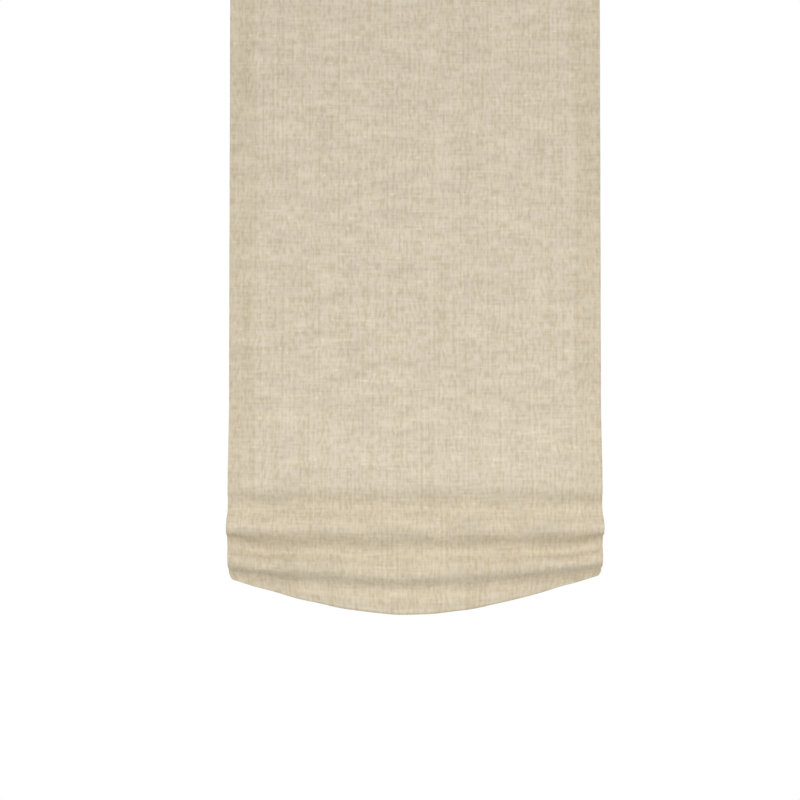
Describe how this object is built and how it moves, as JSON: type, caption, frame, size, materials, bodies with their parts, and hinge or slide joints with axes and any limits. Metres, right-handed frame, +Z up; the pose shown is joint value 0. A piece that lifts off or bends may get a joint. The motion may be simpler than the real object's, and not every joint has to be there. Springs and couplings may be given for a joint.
{
  "type": "roman window shade",
  "caption": "Soft relaxed Roman shade of oatmeal linen that gathers into curved folds at the foot, hung from a slim headrail with a cordless spring lift.",
  "frame": {"origin": "centre of the four bracket screw holes, on the plane of the window head that the brackets meet", "axes": "+Z up, +X to the shade's right as seen from the room, +Y from the room to the window"},
  "size_m": [0.76, 0.0969, 1.3698],
  "materials": {
    "linen": "woven linen, matt",
    "lining": "plain cotton sateen, matt",
    "twill_tape": "woven tape, matt",
    "lift_cord": "braided polyester",
    "aluminium": "extruded, satin white anodised",
    "white_nylon": "moulded, satin",
    "zinc_steel": "pressed, zinc plated",
    "spring_steel": "rolled, blued",
    "clear_plastic": "moulded, glossy"
  },
  "bodies": {
    "headrail": {"headrail": "aluminium", "end_cap_left": "white_nylon", "end_cap_right": "white_nylon", "bracket_left": "zinc_steel", "bracket_right": "zinc_steel", "bracket_rivets": "zinc_steel", "hook_tape": "twill_tape", "loop_tape": "twill_tape", "face_panel": "linen", "lining_panel": "lining", "spool_cradle_left": "white_nylon", "spool_cradle_right": "white_nylon", "lift_cord_left": "lift_cord", "lift_cord_right": "lift_cord", "motor_frame": "white_nylon", "motor_cover": "zinc_steel", "storage_axle": "zinc_steel", "power_spring": "spring_steel"},
    "fold_stack": {"face_folds": "linen", "lining_folds": "lining", "stack_rings": "clear_plastic", "fold_tape_left": "twill_tape", "fold_tape_right": "twill_tape", "cord_orb_left": "clear_plastic", "cord_orb_right": "clear_plastic"},
    "lift_shaft": {"lift_shaft": "zinc_steel", "spool_left": "white_nylon", "spool_right": "white_nylon", "cord_wrap_left": "lift_cord", "cord_wrap_right": "lift_cord", "output_drum": "white_nylon"},
    "storage_drum": {"storage_drum": "white_nylon"},
    "ring_row_1": {"ring_row_1": "clear_plastic"},
    "ring_row_2": {"ring_row_2": "clear_plastic"},
    "ring_row_3": {"ring_row_3": "clear_plastic"},
    "ring_row_4": {"ring_row_4": "clear_plastic"},
    "cam_left": {"swivel_cam_left": "zinc_steel"},
    "cam_right": {"swivel_cam_right": "zinc_steel"}
  },
  "joints": [
    {"name": "lift", "type": "slide", "parent": "headrail", "child": "fold_stack", "axis": [0, 0, 1], "range_m": [0, 0.85], "deforming": ["face_panel", "lining_panel", "lift_cord_left", "lift_cord_right", "power_spring"]},
    {"name": "shaft_turn", "type": "hinge", "parent": "headrail", "child": "lift_shaft", "pos_m": [0, -0.0068, -0.027], "axis": [-1, 0, 0], "range_deg": [0, 4560]},
    {"name": "storage_turn", "type": "hinge", "parent": "headrail", "child": "storage_drum", "pos_m": [0, 0.0112, -0.027], "axis": [-1, 0, 0], "range_deg": [-5690, 0]},
    {"name": "ring_row_1_lift", "type": "slide", "parent": "headrail", "child": "ring_row_1", "axis": [0, 0, 1], "range_m": [0, 0.259]},
    {"name": "ring_row_2_lift", "type": "slide", "parent": "headrail", "child": "ring_row_2", "axis": [0, 0, 1], "range_m": [0, 0.416]},
    {"name": "ring_row_3_lift", "type": "slide", "parent": "headrail", "child": "ring_row_3", "axis": [0, 0, 1], "range_m": [0, 0.573]},
    {"name": "ring_row_4_lift", "type": "slide", "parent": "headrail", "child": "ring_row_4", "axis": [0, 0, 1], "range_m": [0, 0.729]},
    {"name": "cam_left_turn", "type": "hinge", "parent": "headrail", "child": "cam_left", "pos_m": [-0.28, 0, -0.005], "axis": [0, 0, 1], "range_deg": [0, 90]},
    {"name": "cam_right_turn", "type": "hinge", "parent": "headrail", "child": "cam_right", "pos_m": [0.28, 0, -0.005], "axis": [0, 0, -1], "range_deg": [0, 90]}
  ],
  "couplings": [
    {"joint": "shaft_turn", "follows": "lift", "rad_per_m": 93.458},
    {"joint": "storage_turn", "follows": "lift", "rad_per_m": -116.82},
    {"joint": "ring_row_1_lift", "follows": "lift", "ratio": 0.30245},
    {"joint": "ring_row_2_lift", "follows": "lift", "ratio": 0.48683},
    {"joint": "ring_row_3_lift", "follows": "lift", "ratio": 0.67121},
    {"joint": "ring_row_4_lift", "follows": "lift", "ratio": 0.85559}
  ]
}
